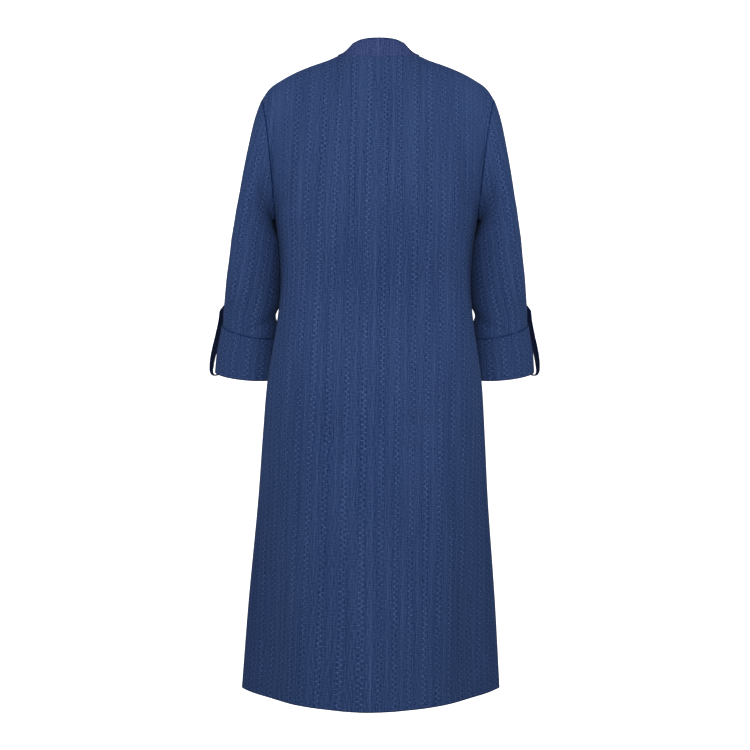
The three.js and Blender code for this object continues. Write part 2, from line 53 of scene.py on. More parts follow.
# Half the width, the depths behind and in front, and how pointed the sides are
BODY = [
    dict(z=-1010, half=206.4, back=150, front=148, point=0.8),
    dict(z=-870, half=197.2, back=144, front=142, point=0.74),
    dict(z=-709, half=184.0, back=135, front=136, point=0.66),
    dict(z=-600, half=177.4, back=128, front=131, point=0.6),
    dict(z=-518, half=171.4, back=120, front=127, point=0.56),
    dict(z=-445, half=160.2, back=105, front=122, point=0.53),
    dict(z=-400, half=154.6, back=98, front=120, point=0.52),
    dict(z=-357, half=152.2, back=96, front=122, point=0.51),
    dict(z=-309, half=155.2, back=101, front=132, point=0.5),
    dict(z=-262, half=161.5, back=107, front=141, point=0.5),
]
HEM_Z = BODY[0]["z"]
HEM_DIP = dict(back=14.5, front=9)
HEM_TILT = 0.006
DIP_FADE = 320
FLUTES = [dict(x=158, depth=5, spread=19, top=-760), dict(x=-158, depth=5, spread=19, top=-760)]

SHOULDER = [
    dict(x=66, z=1.2),
    dict(x=72, z=-1.6),
    dict(x=80, z=-5.2),
    dict(x=90, z=-8.8),
    dict(x=102, z=-12.8),
    dict(x=123, z=-21),
    dict(x=141, z=-29.5),
    dict(x=154, z=-37),
    dict(x=168, z=-46),
    dict(x=177, z=-55),
    dict(x=186, z=-69),
]
NECK_X = 66
TIP_X = 186
LAP = 15  # how far each front reaches past the middle
LAP_LIFT = 2.7  # how far the upper front stands off the lower one
V_DEPTH = -150

BACK_NECK = [
    dict(x=0, y=52, z=-8),
    dict(x=14, y=51.3, z=-7.7),
    dict(x=28, y=48.4, z=-6.6),
    dict(x=41, y=42.3, z=-4.8),
    dict(x=52, y=31, z=-2.6),
    dict(x=60, y=17, z=-0.6),
    dict(x=66, y=0, z=1.2),
]
COLLAR_TOP = [
    dict(x=0, y=50, z=23),
    dict(x=14, y=49.4, z=22.5),
    dict(x=28, y=47, z=20.4),
    dict(x=40.5, y=41, z=15.8),
    dict(x=51, y=29.5, z=6.6),
    dict(x=59, y=15.5, z=3.2),
    dict(x=65, y=3, z=3),
]
COLLAR_CORNER = 3
COLLAR_FACING = 0.9  # how much lower its inner face ends, beside the sloping top edge of the back

# Rings of the sleeve: the middle, the radii and how far the longer way is turned
SLEEVE = [
    dict(z=-292, cx=189.5, cy=-14, rx=39, ry=62, turn=17),
    dict(z=-325, cx=192, cy=-19, rx=41, ry=60, turn=17),
    dict(z=-360, cx=196, cy=-25, rx=43, ry=57, turn=15),
    dict(z=-388, cx=198.8, cy=-31, rx=44.3, ry=54, turn=8),
    dict(z=-408, cx=200.2, cy=-35, rx=45.2, ry=52, turn=0),
    dict(z=-430, cx=201.5, cy=-39.5, rx=45, ry=51, turn=0),
    dict(z=-455, cx=203, cy=-45, rx=47.5, ry=50.5, turn=0),
    dict(z=-482, cx=205, cy=-50.5, rx=50.5, ry=50.5, turn=0),
    dict(z=-508, cx=206, cy=-55.5, rx=52, ry=51, turn=0),
]
CAP_Z = SLEEVE[0]["z"]
ARM_END = SLEEVE[-1]["z"]
SLEEVE_END = ARM_END + 2.2
RING_TILT = 3
RING_COLUMNS = 88
ELBOW = dict(z=-409, depth=6, reach=11, width=50)
CLEAR = 0.9
TOUCH = 0.6  # from the sleeve to the body above the cuff, where the cloth lies against it
CUFF_HEIGHT = 72
CUFF_SLOPE = 4  # how much higher the cuff's top is turned up on the outside

TAB_WIDTH = 28
TAB_STATIONS = 85
# How far down from the sleeve's end, how far out from the sleeve and the turn to the front
TAB = [
    dict(down=-66, out=-6.6, turn=2),
    dict(down=-40, out=-6.6, turn=2),
    dict(down=-16, out=-6.6, turn=2),
    dict(down=-4, out=-6.4, turn=2),
    dict(down=2, out=-5.4, turn=2),
    dict(down=5.4, out=-2.4, turn=2),
    dict(down=6.4, out=1.2, turn=2),
    dict(down=5.2, out=5, turn=2),
    dict(down=0.6, out=8.0, turn=4),
    dict(down=-6, out=9.0, turn=7),
    dict(down=-16, out=9.2, turn=9.5),
    dict(down=-30, out=8.4, turn=12),
    dict(down=-48, out=7.4, turn=14),
    dict(down=-66, out=6.5, turn=15.5),
    dict(down=-84, out=5.0, turn=16),
    dict(down=-95, out=3.8, turn=16),
    dict(down=-104, out=2.2, turn=16),
]

# Sizes of the buttons in metres
FRONT_BUTTON = dict(radius=0.0095, height=0.0034)
TAB_BUTTON = dict(radius=0.006, height=0.0026)
FRONT_BUTTONS = 5

# Columns from the middle of a panel to its side, and the ones that end at the neckline
BACK_SIDE = dict(columns=75, neck=30, solids=15)
FRONT_SIDE = dict(columns=78, neck=30)

# Soft forms of the hanging cloth: where they run (from x, z to x2, z2), how wide they are and how
# far they stand out (or, below zero, sink in). Sideways places are before the coat's lean.
BACK_FORMS = [
    dict(x=70, z=-300, x2=62, z2=-330, wide=44, out=2.6),
    dict(x=-76, z=-296, x2=-66, z2=-330, wide=44, out=2.6),
    dict(x=-50, z=-346, x2=50, z2=-346, wide=58, out=4.0),
    dict(x=0, z=-380, x2=4, z2=-430, wide=40, out=-1.6),
    dict(x=138, z=-120, x2=146, z2=-236, wide=11, out=-3.4),
    dict(x=-140, z=-118, x2=-146, z2=-240, wide=11, out=-3.4),
    dict(x=122, z=-150, x2=132, z2=-262, wide=9, out=1.5),
    dict(x=-124, z=-146, x2=-130, z2=-268, wide=9, out=1.5),
    dict(x=0, z=-110, x2=0, z2=-118, wide=54, out=-4.4),
    dict(x=154, z=-830, x2=162, z2=-960, wide=21, out=-4.0),
    dict(x=-152, z=-820, x2=-162, z2=-960, wide=21, out=-4.0),
    dict(x=70, z=-598, x2=60, z2=-620, wide=34, out=-4.2),
    dict(x=-66, z=-594, x2=-60, z2=-616, wide=34, out=-4.2),
    dict(x=94, z=-640, x2=104, z2=-780, wide=24, out=2.2),
    dict(x=-108, z=-630, x2=-112, z2=-800, wide=24, out=2.2),
    dict(x=4, z=-660, x2=8, z2=-750, wide=10, out=0.9),
    dict(x=52, z=-800, x2=64, z2=-1030, wide=17, out=-2.2),
    dict(x=-44, z=-830, x2=-56, z2=-1030, wide=20, out=-2.0),
    dict(x=6, z=-850, x2=10, z2=-1030, wide=22, out=1.6),
    dict(x=108, z=-850, x2=118, z2=-1030, wide=15, out=2.0),
    dict(x=-106, z=-830, x2=-112, z2=-1030, wide=16, out=2.0),
]
FRONT_FORMS = [
    dict(x=72, z=-230, x2=70, z2=-290, wide=46, out=3.0),
    dict(x=-72, z=-232, x2=-70, z2=-288, wide=46, out=3.0),
    dict(x=132, z=-150, x2=140, z2=-236, wide=10, out=-2.6),
    dict(x=-132, z=-146, x2=-142, z2=-240, wide=10, out=-2.6),
    dict(x=100, z=-380, x2=112, z2=-520, wide=16, out=-1.6),
    dict(x=-96, z=-390, x2=-114, z2=-540, wide=16, out=-1.6),
    dict(x=84, z=-700, x2=98, z2=-1030, wide=22, out=-2.6),
    dict(x=-78, z=-720, x2=-98, z2=-1030, wide=22, out=-2.6),
    dict(x=126, z=-820, x2=136, z2=-1030, wide=16, out=1.8),
    dict(x=-122, z=-800, x2=-138, z2=-1030, wide=16, out=1.8),
]
# The same on a sleeve: angle round the arm (0 outermost, 90 behind) and height of both ends
ARM_FORMS = [
    dict(turn=150, z=-400, turn2=78, z2=-432, wide=8, out=-2.4),
    dict(turn=165, z=-380, turn2=104, z2=-352, wide=8, out=-1.8),
    dict(turn=196, z=-404, turn2=262, z2=-424, wide=9, out=-2.4),
    dict(turn=188, z=-376, turn2=250, z2=-348, wide=9, out=-1.8),
    dict(turn=70, z=-130, turn2=100, z2=-250, wide=11, out=-1.8),
    dict(turn=30, z=-250, turn2=46, z2=-380, wide=13, out=1.4),
    dict(turn=300, z=-160, turn2=262, z2=-262, wide=11, out=-1.8),
    dict(turn=52, z=-300, turn2=84, z2=-330, wide=10, out=-1.0),
]


# Tables, curves and grids of points


def read(rows, key, value):
    """Every column of a table at values of its key, along a smooth curve through its rows."""
    places = np.array([row[key] for row in rows], float)
    up = -1 if places[-1] < places[0] else 1
    value = np.clip(up * np.asarray(value, float), up * places[0], up * places[-1])
    k = np.clip(np.searchsorted(up * places, value, side="right") - 1, 0, len(places) - 2)
    span = places[k + 1] - places[k]
    t = (up * value - places[k]) / span
    before = np.maximum(np.arange(len(places)) - 1, 0)
    after = np.minimum(np.arange(len(places)) + 1, len(places) - 1)
    out = {}
    for column in rows[0]:
        y = np.array([row[column] for row in rows], float)
        slope = (y[after] - y[before]) / (places[after] - places[before])
        m, n = slope[k] * span, slope[k + 1] * span
        ends = y[k] * (1 + 2 * t) * (1 - t) ** 2 + y[k + 1] * t * t * (3 - 2 * t)
        out[column] = ends + m * t * (1 - t) ** 2 - n * t * t * (1 - t)
    return out


def read_station(rows, number):
    return read([dict(row, k=k) for k, row in enumerate(rows)], "k", number)


def at(x, y, z):
    return np.stack(np.broadcast_arrays(*[np.asarray(v, float) for v in (x, y, z)]), -1)


def mix(a, b, w):
    return a + (b - a) * w


def blend(a, b, w):
    return a + (b - a) * np.asarray(w)[..., None]


def step(x, low, high):
    t = np.clip((np.asarray(x, float) - low) / (high - low), 0, 1)
    return t * t * (3 - 2 * t)


def bezier(a, b, c, d, t):
    t = np.asarray(t, float)[..., None]
    s = 1 - t
    return a * s**3 + 3 * b * s * s * t + 3 * c * s * t * t + d * t**3


def unit(v):
    return v / np.maximum(np.linalg.norm(v, axis=-1, keepdims=True), 1e-9)


def bumps(forms, x, z, keys=("x", "z", "x2", "z2")):
    """How far the soft forms push a point out: each is deepest along its line and dies away."""
    total = np.zeros(np.broadcast(x, z).shape)
    for form in forms:
        x0, z0, x1, z1 = (form[key] for key in keys)
        length = math.hypot(x1 - x0, z1 - z0)
        along = ((x - x0) * (x1 - x0) + (z - z0) * (z1 - z0)) / length**2
        nearest = np.clip(along, 0, 1)
        aside = np.hypot(x - x0 - nearest * (x1 - x0), z - z0 - nearest * (z1 - z0))
        lower_end = 1 + 0.25 * np.sin(along * 3.1 + x0)
        total += form["out"] * lower_end * np.exp(-((aside / form["wide"]) ** 2))
    return total


def rumple(x, z):
    """Faint unevenness of cloth that hangs freely, mostly up and down."""
    waves = np.sin(x * 0.071 + 0.6 * np.sin(z * 0.011)) * np.sin(z * 0.013 + 1.3)
    waves += 0.6 * np.sin(x * 0.133 + z * 0.017 + 2.1) * np.sin(z * 0.0071 + 0.4)
    return 0.38 * waves


# Body


def body_point(z, degrees):
    z, degrees = np.broadcast_arrays(np.asarray(z, float), np.asarray(degrees, float))
    row = read(BODY, "z", z)
    c, s = np.cos(np.radians(degrees)), np.sin(np.radians(degrees))
    depth = np.where(s >= 0, row["back"], row["front"])
    dip = np.where(s >= 0, HEM_DIP["back"], HEM_DIP["front"])
    x = row["half"] * c
    y = np.sign(s) * depth * np.abs(s) ** (2 * row["point"])
    fade = 1 - step(z, HEM_Z, HEM_Z + DIP_FADE)
    for flute in FLUTES:
        strength = 1 - step(z, HEM_Z, flute["top"])
        hollow = np.exp(-(((x - flute["x"]) / flute["spread"]) ** 2))
        y = y - np.sign(s) * flute["depth"] * strength * hollow
    return at(x, y, z + (HEM_TILT * x - dip * np.abs(s) ** 2.2) * fade)


def body_reach(z, y):
    row = read(BODY, "z", np.maximum(z, HEM_Z))
    share = np.minimum(1, np.abs(y) / np.where(y > 0, row["back"], row["front"]))
    return row["half"] * np.sqrt(np.maximum(0, 1 - share ** (1 / row["point"])))


def shoulder_point(x):
    return at(x, 0, read(SHOULDER, "x", x)["z"])


def back_column(share, t):
    share, t = np.broadcast_arrays(np.asarray(share, float), np.asarray(t, float))
    start = body_point(UNDERARM_Z, 90 * (1 - share))
    neck_share = BACK_SIDE["neck"] / BACK_SIDE["columns"]
    shoulder = (share - neck_share) / (1 - neck_share)
    neck = read_station(BACK_NECK, np.minimum(share * BACK_SIDE["solids"], len(BACK_NECK) - 1))
    ends = shoulder_point(mix(NECK_X, TIP_X, np.clip(shoulder, 0, 1)))
    end = np.where((shoulder < 0)[..., None], at(neck["x"], neck["y"], neck["z"]), ends)
    side = share**5
    rise = blend(at(0, 3, 85), at(1, 55, 38), side)
    at_neck = 22 + 0.75 * (BACK_NECK[0]["y"] - neck["y"])
    beside = np.where(shoulder < 0, at_neck, mix(61, 48, step(shoulder, 0, 0.6)))
    fall = at(0, beside, mix(-52, -9, step(share, 0.3 * neck_share, neck_share + 0.2)))
    fall = blend(fall, at(-14, 76, -38), side)
    return bezier(start, start + rise, end + fall, end, t)


def chest_depth(z):
    return -141 + 24 * np.maximum(0, (z - UNDERARM_Z) / (V_DEPTH - UNDERARM_Z)) ** 1.6


def front_neck(t):
    foot, top = at(-LAP, -117, V_DEPTH), at(NECK_X, 0, 1.2)
    return bezier(foot, at(12, -112, -108), at(53, -66, -26), top, t)


def front_angle(z, share):
    edge = 90 + np.degrees(np.arcsin(LAP / read(BODY, "z", z)["half"]))
    return -edge * (1 - share)


def front_column(share, t):
    share, t = np.broadcast_arrays(np.asarray(share, float), np.asarray(t, float))
    start = body_point(UNDERARM_Z, front_angle(UNDERARM_Z, share))
    neck_share = FRONT_SIDE["neck"] / FRONT_SIDE["columns"]
    shoulder = (share - neck_share) / (1 - neck_share)
    ends = shoulder_point(mix(NECK_X, TIP_X, np.clip(shoulder, 0, 1)))
    end = np.where((shoulder < 0)[..., None], front_neck(np.clip(share / neck_share, 0, 1)), ends)
    side = share**5
    ridge = step(share, neck_share - 0.2, neck_share + 0.1)
    rise = blend(at(0, 1, 38), at(0, 2, 80), step(share, 0, neck_share))
    rise = blend(rise, at(-2, -52, 38), side)
    fall = blend(blend(at(0, -13, -38), at(0, -40, -9), ridge), at(-24, -72, -40), side)
    p = bezier(start, start + rise, end + fall, end, t)
    shared = mix(chest_depth(p[..., 2]), p[..., 1], step(np.abs(p[..., 0]), LAP, 4 * LAP))
    p[..., 1] = np.where(p[..., 2] < V_DEPTH + 40, shared, p[..., 1])
    return p


# Sleeves, worked out for the +X side


def arm_point(z, degrees, out=0.0):
    z, degrees = np.broadcast_arrays(np.asarray(z, float), np.asarray(degrees, float))
    row, above, below = (read(SLEEVE, "z", z + d) for d in (0, 8, -8))
    reach = above["z"] - below["z"]
    tilt_x = (above["cx"] - below["cx"]) / reach
    tilt_y = (above["cy"] - below["cy"]) / reach
    length = np.sqrt(tilt_x**2 + tilt_y**2 + 1)
    ax, ay, az = tilt_x / length - math.sin(math.radians(RING_TILT)), tilt_y / length, 1 / length
    turn = np.radians(row["turn"])
    across = (row["rx"] + out) * np.cos(np.radians(degrees))
    along = (row["ry"] + out) * np.sin(np.radians(degrees))
    x = across * np.cos(turn) + along * np.sin(turn)
    y = along * np.cos(turn) - across * np.sin(turn)
    off_inner = 180 - np.abs(180 - np.mod(degrees + 180, 360))
    from_elbow = ((z - ELBOW["z"]) / ELBOW["reach"]) ** 2 + (off_inner / ELBOW["width"]) ** 2
    x = x + ELBOW["depth"] * np.exp(-from_elbow)
    p = at(x + row["cx"], y + row["cy"], z - (x * ax + y * ay) / az)
    above_cuff = step(z, ARM_END + CUFF_HEIGHT + 6, ARM_END + CUFF_HEIGHT + 30)
    clear = mix(CLEAR + WALL + SEAM - out, TOUCH, above_cuff)
    p[..., 0] = np.maximum(p[..., 0], body_reach(p[..., 2], p[..., 1]) + clear)
    return p


def armhole_inward(down, behind):
    middle = blend(at(0, 0, -1), at(-0.35, np.where(behind, -1, 1), 0), step(down, 0, 0.3))
    return unit(blend(middle, at(-1, 0, 0), step(down, 0.7, 1)))


def armhole(count):
    """The armhole's edge as a closed loop: points, inward directions, directions off the panel, how
    far down each is, and the ring angle that it leads to."""
    place = np.arange(count) / count * 2
    behind = place <= 1
    t = np.where(behind, 1 - place, place - 1)
    edge = np.where(behind[:, None], back_column(1.0, t), front_column(1.0, t))
    inward = armhole_inward(1 - t, behind)
    edge[:, 1] += np.where(behind, SEAM, -SEAM) / 2
    for k in (0, count // 2):
        edge[k, 1] = 0
        inward[k, 1] = 0
    off = unit(np.cross(inward, np.roll(edge, -1, 0) - np.roll(edge, 1, 0)))
    # The solids' rows are a little uneven in t, so the ring angle follows them.
    rows = np.array([0, 0.1, 0.2, 0.3, 0.4, 0.5, 0.6, 0.7, 0.79, 0.87, 0.94, 1])
    turn = np.interp(1 - t, 1 - rows[::-1], np.linspace(0, 180, len(rows)))
    angle = np.where(behind, turn, 360 - turn)
    return dict(edge=edge, inward=unit(inward), off=off, down=1 - t, angle=angle)


def armhole_gap(down):
    return (SEAM * (1 + 1.6 * down * down))[:, None]


def cap_points(loop, t):
    """Rows of points from the armhole (t 0) down to the first ring of the arm (t 1)."""
    down, angle = loop["down"], loop["angle"]
    leave = unit(at(mix(0.4, 1, down), 0, 0.4 * down**4 - 0.86 * (1 - down) ** 0.6))
    start = loop["edge"] + loop["off"] * armhole_gap(down)
    end = arm_point(CAP_Z, angle)
    reach = np.linalg.norm(end - start, axis=1)[:, None]
    pull = unit(arm_point(CAP_Z - 6, angle) - end)
    pull[:, 0] += 0.08 * np.cos(np.radians(angle))
    first = start + leave * (0.26 * reach + 4)
    second = end - pull * 0.3 * reach
    return bezier(*(p[:, None] for p in (start, first, second, end)), np.asarray(t)[None, :])


def sleeve_grid(count, arm_rows, cap_rows):
    loop = armhole(count)
    arm = arm_point(arm_rows[None, :], loop["angle"][:, None])
    cap = cap_points(loop, cap_rows)
    grid = np.concatenate([arm, cap], 1)
    heights = np.concatenate([arm_rows, mix(-100.0, CAP_Z, cap_rows)])
    height = np.tile(heights, (count, 1))
    rows_left = np.arange(grid.shape[1])[::-1]
    fade = step(rows_left, 1, 9) * step(height, ARM_END + CUFF_HEIGHT - 8, ARM_END + CUFF_HEIGHT + 20)
    around = loop["angle"][:, None] * 0.9
    outer_side = np.abs(np.cos(np.radians(loop["angle"])))[:, None]
    push = bumps(ARM_FORMS, around, height, ("turn", "z", "turn2", "z2")) + 0.7 * rumple(around, height)
    push = push * fade * (1 - 0.75 * outer_side**6)
    grid = grid + grid_normals(grid, True) * push[..., None]
    return grid, loop


# Meshes


def grid_normals(grid, closed):
    across = np.roll(grid, -1, 0) - np.roll(grid, 1, 0)
    if not closed:
        across[0], across[-1] = grid[1] - grid[0], grid[-1] - grid[-2]
    return unit(np.cross(across, np.gradient(grid, axis=1)))


def lengths(grid, axis):
    """Distance run along each row or column of a grid, from its first point."""
    run = np.cumsum(np.linalg.norm(np.diff(grid, axis=axis), axis=-1), axis=axis)
    return np.concatenate([np.zeros_like(run.take([0], axis)), run], axis)


def flat_area(grid, closed):
    loop = np.concatenate([grid, grid[:1]], 0) if closed else grid
    a, b, c, d = loop[:-1, :-1], loop[1:, :-1], loop[1:, 1:], loop[:-1, 1:]
    lower = np.linalg.norm(np.cross(b - a, c - a), axis=-1)
    upper = np.linalg.norm(np.cross(c - a, d - a), axis=-1)
    return float((lower + upper).sum() / 2)


def make_mesh(name, points, faces, maps, material):
    mesh = bpy.data.meshes.new(name)
    hung = np.array(points, float)
    hung[:, 0] -= LEAN * hung[:, 2]
    mesh.from_pydata((hung / 1000).tolist(), [], faces)
    for map_name, values in maps.items():
        layer = mesh.uv_layers.new(name=map_name)
        layer.data.foreach_set("uv", np.asarray(values, np.float32).ravel())
    mesh.polygons.foreach_set("use_smooth", np.ones(len(mesh.polygons), bool))
    mesh.update()
    mesh.materials.append(material)
    piece = bpy.data.objects.new(name, mesh)
    bpy.context.scene.collection.objects.link(piece)
    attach(piece, "root")
    return piece


NO_EDGE = 50.0  # stands for the distance to a side edge where a closed wall has none


def wall(name, grid, inner, grain, material, closed=False, seamless=""):
    """A closed wall between two grids. grain is the cloth's own sideways and lengthways place of each
    outer point, with one column more on a closed wall. A second map holds the distances to the edges,
    apart from one that is seamless, the top or the foot."""
    columns, rows = grid.shape[:2]
    spans = columns if closed else columns - 1
    i, j = np.meshgrid(np.arange(spans), np.arange(rows - 1), indexing="ij")
    i, j = i.ravel(), j.ravel()
    i2 = (i + 1) % columns
    half = columns * rows
    outer = np.stack([i * rows + j, i2 * rows + j, i2 * rows + j + 1, i * rows + j + 1], 1)
    cells = [(i, j), (i + 1, j), (i + 1, j + 1), (i, j + 1)]
    loop = np.concatenate([grid, grid[:1]], 0) if closed else grid
    across, along = (lengths(loop, axis) for axis in (0, 1))
    side = np.full_like(across, NO_EDGE) if closed else np.minimum(across, across[-1:] - across)
    from_top = along[:, -1:] - along
    hem = {"top": along, "foot": from_top}.get(seamless, np.minimum(along, from_top))
    rim = np.stack([side, hem], -1)
    outer_grain = np.stack([grain[cell] for cell in cells], 1)
    outer_rim = np.stack([rim[cell] for cell in cells], 1)
    faces = [outer, outer[:, ::-1] + half]
    grains = [outer_grain, outer_grain[:, ::-1]]
    rims = [outer_rim, outer_rim[:, ::-1]]

    def border(a, b, at_a, at_b):
        faces.append(np.stack([a, a + half, b + half, b], 1))
        for store, values in ((grains, grain), (rims, rim)):
            p, q = values[at_a], values[at_b]
            store.append(np.stack([p, p, q, q], 1))

    k = np.arange(spans)
    k2 = (k + 1) % columns
    last = rows - 1
    border(k * rows, k2 * rows, (k, 0 * k), (k + 1, 0 * k))
    border(k2 * rows + last, k * rows + last, (k + 1, 0 * k + last), (k, 0 * k + last))
    if not closed:
        k = np.arange(rows - 1)
        end = columns - 1
        border(k + 1, k, (0 * k, k + 1), (0 * k, k))
        border(end * rows + k, end * rows + k + 1, (0 * k + end, k), (0 * k + end, k + 1))
    maps = {"grain": np.concatenate(grains) / 1000, "rim": np.concatenate(rims) / 1000}
    points = np.concatenate([grid.reshape(-1, 3), inner.reshape(-1, 3)])
    return make_mesh(name, points, np.concatenate(faces).tolist(), maps, material)


def mirrored(grid):
    return (grid * np.array([-1, 1, 1]))[::-1]


def finer(ends, spacing, edge=1.4):
    """Places along a run, about evenly spaced, with one more close to each end."""
    low, high = ends
    count = max(2, round(abs(high - low) / spacing))
    places = np.linspace(low, high, count + 1)
    near = math.copysign(edge, high - low)
    return np.concatenate([[low, low + near], places[1:-1], [high - near, high]])


# Materials


class Shader:
    """Short names for building a material's nodes."""

    def __init__(self, name, **sockets):
        self.material = bpy.data.materials.new(name)
        self.material.use_nodes = True
        self.tree = self.material.node_tree
        self.surface = self.tree.nodes["Principled BSDF"]
        for socket, value in sockets.items():
            self.surface.inputs[socket.replace("_", " ")].default_value = value

    def add(self, kind, inputs=(), **settings):
        node = self.tree.nodes.new(kind)
        for key, value in settings.items():
            setattr(node, key, value)
        for key, value in dict(inputs).items():
            if isinstance(value, bpy.types.NodeSocket):
                self.tree.links.new(value, node.inputs[key])
            else:
                node.inputs[key].default_value = value
        return node

    def math(self, operation, *values):
        return self.add("ShaderNodeMath", enumerate(values), operation=operation).outputs[0]

    def plus(self, a, b):
        return self.math("ADD", a, b)

    def minus(self, a, b):
        return self.math("SUBTRACT", a, b)

    def times(self, a, b):
        return self.math("MULTIPLY", a, b)

    def apart(self, a, b):
        return self.math("ABSOLUTE", self.minus(a, b))

    def band(self, value, start, stop):
        """1 up to start, falling softly to 0 at stop."""
        inputs = {"Value": value, "From Min": start, "From Max": stop, "To Min": 1.0, "To Max": 0.0}
        return self.add("ShaderNodeMapRange", inputs, interpolation_type="SMOOTHSTEP").outputs[0]

    def uv(self, name):
        node = self.add("ShaderNodeUVMap")
        node.uv_map = name
        parts = self.add("ShaderNodeSeparateXYZ", {"Vector": node.outputs[0]})
        return parts.outputs["X"], parts.outputs["Y"]

    def noise(self, x, y, scale_x, scale_y, detail=2.0):
        scaled = {"X": self.times(x, scale_x), "Y": self.times(y, scale_y)}
        place = self.add("ShaderNodeCombineXYZ", scaled).outputs[0]
        inputs = {"Vector": place, "Scale": 1.0, "Detail": detail, "Roughness": 0.6}
        node = self.add("ShaderNodeTexNoise", inputs, noise_dimensions="2D")
        return self.minus(node.outputs[0], 0.5)

    def threads(self, x, y, scale_x, scale_y, off_x, off_y):
        """Noise less the same noise a thread away, so that it doesn't grow into broad blotches."""
        here = self.noise(x, y, scale_x, scale_y, 3.0)
        beside = self.noise(self.plus(x, off_x), self.plus(y, off_y), scale_x, scale_y, 3.0)
        return self.minus(here, beside)

    def link(self, socket, name):
        self.tree.links.new(socket, self.surface.inputs[name])


# The weave's sizes in metres
STRIPE = 0.024  # from one zigzag stripe to the next
ZIGZAG = dict(period=0.0083, swing=0.0024, stripe=0.0040)
THREAD = 0.0017  # from one coarse thread to the next
STITCH = 0.0016  # half of one stitch with its gap


def cloth(name, dark, light, pattern=1.0, stitch=None):
    """Navy dobby weave: vertical stripes of zigzag floats with small holes beside their turns, soft
    plain lines between them, and linen-like slubs. pattern is how strongly the stripes show, and
    stitch how far topstitching lies from the edges."""
    s = Shader(name, Roughness=0.9, Specular_IOR_Level=0.0, Sheen_Weight=0.02, Sheen_Roughness=0.5)
    s.surface.inputs["Sheen Tint"].default_value = (0.5, 0.62, 0.95, 1)
    u, v = s.uv("grain")
    wander = s.times(s.noise(u, v, 18.0, 9.0), 0.0020)
    uneven_rows = s.times(s.noise(u, v, 26.0, 0.7), 0.007)
    moved = s.plus(u, s.plus(wander, uneven_rows))
    share = s.math("FRACT", s.math("DIVIDE", moved, STRIPE))
    place = s.times(s.minus(share, 0.5), STRIPE)
    aside = s.math("ABSOLUTE", place)

    quarter = ZIGZAG["period"] / 4
    turn = s.minus(s.math("DIVIDE", s.math("PINGPONG", v, 2 * quarter), quarter), 1.0)
    at_turn = s.times(turn, turn)
    swing = s.times(turn, ZIGZAG["swing"])
    to_float = s.apart(place, swing)
    to_hole = s.math("ABSOLUTE", s.plus(place, swing))
    blotch = s.plus(0.95, s.times(s.noise(u, v, 260.0, 250.0), 2.8))
    come_and_go = s.plus(0.9, s.times(s.noise(u, v, 30.0, 11.0), 1.3))
    strength = s.times(s.math("MAXIMUM", come_and_go, 0.15), pattern)
    at_ends = s.plus(0.12, s.times(s.times(at_turn, at_turn), 1.25))
    floats = s.times(s.band(to_float, 0.0005, 0.0025), at_ends)
    between = s.minus(0.25, s.times(at_turn, 0.25))
    crossing = s.times(s.band(to_hole, 0.0004, 0.0015), between)
    floats = s.times(s.plus(floats, crossing), s.times(blotch, strength))
    holes = s.times(s.band(to_hole, 0.0004, 0.0019), s.times(at_turn, strength))
    stripe = s.band(aside, ZIGZAG["stripe"], ZIGZAG["stripe"] + 0.0012)
    plain = s.minus(1.0, s.band(aside, STRIPE / 2 - 0.0024, STRIPE / 2 - 0.0006))
    plain = s.times(plain, s.plus(0.45, s.times(s.noise(u, v, 40.0, 9.0), 1.8)))

    warp = s.threads(u, v, 540.0, 64.0, THREAD, 0.0)
    weft = s.threads(u, v, 120.0, 540.0, 0.0, THREAD)
    lines = s.noise(u, v, 300.0, 4.0)
    broad = s.noise(u, v, 42.0, 3.5, 3.0)
    tone = 0.40
    for layer, weight in (
        (floats, 1.15),
        (holes, -0.36),
        (stripe, -0.09),
        (plain, 0.26),
        (warp, 1.06),
        (weft, 0.79),
        (lines, 0.42),
        (broad, 0.31),
    ):
        tone = s.plus(tone, s.times(layer, weight))

    side, hem = s.uv("rim")
    edge = s.math("MINIMUM", side, hem)
    # Painted shade: the tone is made darker within about 2.6 mm of every edge and seam, standing in for
    # the shadow along the cuff's top edge, the armhole seams and the hem.
    tone = s.minus(tone, s.times(s.band(edge, 0.0004, 0.0026), 0.62))
    height = s.plus(s.times(s.minus(floats, holes), 0.6), s.plus(warp, weft))
    if stitch:
        to_row = s.apart(edge, stitch)
        run = s.math("PINGPONG", s.plus(u, v), STITCH)
        gap = s.band(run, 0.0002, 0.0005)
        dash = s.times(s.band(to_row, 0.0003, 0.0007), s.minus(1.0, gap))
        # Painted shade: the groove beside the stitching is lowered and also made darker in colour, as if
        # in shadow.
        sunk = s.band(to_row, 0.0003, 0.0022)
        tone = s.minus(tone, s.times(sunk, 0.10))
        height = s.plus(height, s.minus(s.times(dash, 1.6), s.times(sunk, 1.4)))
    tone = s.add("ShaderNodeClamp", {"Value": tone, "Min": -0.15, "Max": 2.4}).outputs[0]
    colour = s.add("ShaderNodeMix", data_type="RGBA", clamp_factor=False)
    low, high = (socket for socket in colour.inputs if socket.type == "RGBA")
    low.default_value, high.default_value = (*dark, 1), (*light, 1)
    s.tree.links.new(tone, colour.inputs["Factor"])
    mixed = [socket for socket in colour.outputs if socket.type == "RGBA"]
    s.link(mixed[0], "Base Color")
    bump = s.add("ShaderNodeBump", {"Height": height, "Strength": 0.35, "Distance": 0.00035})
    s.link(bump.outputs[0], "Normal")
    return s.material


